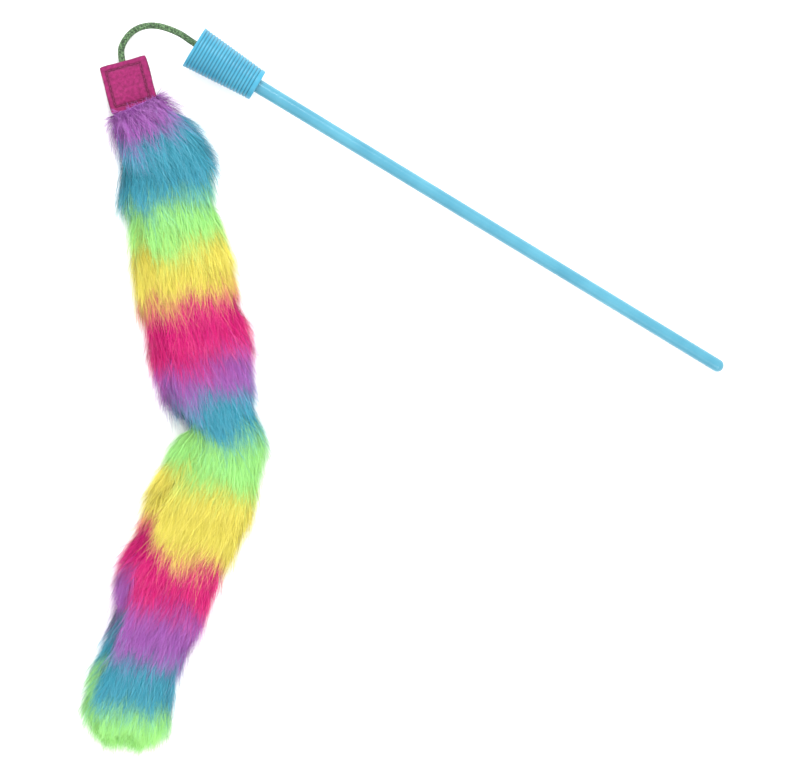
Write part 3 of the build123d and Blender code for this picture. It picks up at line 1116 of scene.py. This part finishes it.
def strand_mesh(name, lines, normal, hue, tone_and_painted_shade, rng):
    """One thin tapered ribbon for each strand, turned roughly outwards, with painted shade darkening its root."""
    count, rings = lines.shape[:2]
    share = np.linspace(0, 1, rings)
    direction = unit(np.gradient(lines, axis=1))
    roll = rng.uniform(-0.9, 0.9, count)[:, None, None]
    outward = normal[:, None, :] + 0 * direction
    side = unit(np.cross(direction, outward))
    side = unit(side * np.cos(roll) + outward * np.sin(roll))
    width = STRAND_WIDTH * rng.uniform(0.6, 1.3, count)[:, None] * (1 - 0.85 * share ** 1.5)
    offset = side * width[:, :, None] / 2
    body = np.stack([lines[:, :-1] - offset[:, :-1], lines[:, :-1] + offset[:, :-1]], axis=2)
    points = np.concatenate([body.reshape(count, -1, 3), lines[:, -1:]], axis=1)
    per = points.shape[1]
    quads = [(2 * k, 2 * k + 1, 2 * k + 3, 2 * k + 2) for k in range(rings - 2)]
    last = 2 * (rings - 2)
    pattern = np.array([i for quad in quads for i in quad] + [last, last + 1, last + 2])
    sizes = np.array([4] * len(quads) + [3])
    loops = (np.arange(count)[:, None] * per + pattern).ravel()
    totals = np.tile(sizes, count)
    mesh = bpy.data.meshes.new(name)
    mesh.vertices.add(count * per)
    mesh.vertices.foreach_set("co", points.astype(np.float32).ravel())
    mesh.loops.add(len(loops))
    mesh.loops.foreach_set("vertex_index", loops.astype(np.int32))
    mesh.polygons.add(len(totals))
    starts = np.concatenate([[0], np.cumsum(totals)[:-1]])
    mesh.polygons.foreach_set("loop_start", starts.astype(np.int32))
    mesh.polygons.foreach_set("loop_total", totals.astype(np.int32))
    mesh.update(calc_edges=True)
    middle = (share[:-1] + share[1:]) / 2
    # painted shade: the tone rises from dark at the root to pale at the tip, shifted by each strand's own tone
    tone = np.rint(tone_and_painted_shade[:, None] - 0.5 + 4.3 * middle ** 0.8)
    tone = np.clip(tone, 0, len(TONES) - 1).astype(int)
    mark = (hue[:, None] * len(TONES) + tone).ravel()
    used, index = np.unique(mark, return_inverse=True)
    obj = bpy.data.objects.new(name, mesh)
    bpy.context.scene.collection.objects.link(obj)
    for value in used:
        mesh.materials.append(fur_material(int(value) // len(TONES), int(value) % len(TONES)))
    mesh.polygons.foreach_set("material_index", index.astype(np.int32))
    mesh.polygons.foreach_set("use_smooth", np.ones(len(totals), bool))
    soft = unit(0.8 * normal + 0.2 * np.array([0, 0, 1.0]))
    mesh.normals_split_custom_set_from_vertices(np.repeat(soft, per, axis=0).tolist())
    return obj


def hinge_places():
    """Distance along the tail of each bend joint, from the joints' own positions."""
    places = []
    for number in range(1, 7):
        position = np.array(JOINTS[f"tail_bend_{number}"]["pos_m"][:2])
        nearest = np.argmin(np.linalg.norm(LINE[:, :2] - position, axis=1))
        places.append(LINE_AT[nearest])
    return places


def make_tail():
    """Cloth and fur in lengths cut midway between hinges, one hinge in each length."""
    hinges = hinge_places()
    cuts = [0.0]
    for before, after in zip(hinges, hinges[1:]):
        cuts.append((before + after) / 2)
    cuts.append(TAIL_LENGTH)
    cloth = backing_material()
    for number, (start, end) in enumerate(zip(cuts, cuts[1:]), start=1):
        pieces = (
            make_cloth_piece(number, start, end, cloth),
            make_fur_piece(f"tail_fur_{number}", number, start, end,
                           -OVER_EDGE, math.pi + OVER_EDGE, OVER_CLUMPS),
            make_fur_piece(f"tail_fur_under_{number}", 100 + number, start, end,
                           math.pi + OVER_EDGE, 2 * math.pi - OVER_EDGE, UNDER_CLUMPS),
        )
        for piece in pieces:
            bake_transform(piece)
        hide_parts(f"tail_{number}")
        if number == 6:
            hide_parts("tail_7")


# ---- stage


def make_stage():
    """A pale table under soft white light from all round, with two broad lamps."""
    bpy.ops.mesh.primitive_plane_add(size=TABLE_SIZE)
    table = bpy.context.object
    table.name = "table"
    table.data.materials.append(table_material())
    world = bpy.data.worlds.new("soft_white")
    bpy.context.scene.world = world
    world.use_nodes = True
    world.node_tree.nodes["Background"].inputs["Color"].default_value = (1, 1, 1, 1)
    world.node_tree.nodes["Background"].inputs["Strength"].default_value = SKY_STRENGTH
    for name, place, size, power in LAMPS:
        lamp = bpy.data.lights.new(name, "AREA")
        lamp.size = size
        lamp.energy = power
        light = bpy.data.objects.new(name, lamp)
        light.location = place
        light.rotation_euler = (-Vector(place)).to_track_quat("-Z", "Y").to_euler()
        bpy.context.scene.collection.objects.link(light)
    bpy.context.scene.view_settings.view_transform = "Standard"


def make_camera():
    """Looks straight down, turned so that the tail hangs on the left and the rod goes right."""
    lens = bpy.data.cameras.new("camera")
    lens.lens = LENS_MM
    lens.sensor_width = SENSOR_MM
    camera = bpy.data.objects.new("camera", lens)
    height = VIEW_WIDTH * LENS_MM / SENSOR_MM
    camera.location = VIEW_CENTRE + Vector((0, 0, height))
    camera.rotation_euler = (0, 0, VIEW_TURN)
    bpy.context.scene.collection.objects.link(camera)
    bpy.context.scene.camera = camera


make_camera()
make_stage()
wand = wand_frame()
make_cord(yarn_material())
make_cone(wand, plastic_material("cone_plastic", (44, 146, 180), (60, 162, 194), 0.34, 0.46))
make_rod(wand, plastic_material("rod_plastic", (66, 146, 172), (84, 162, 186), 0.12, 0.24))
make_tab()
make_tail()

import json
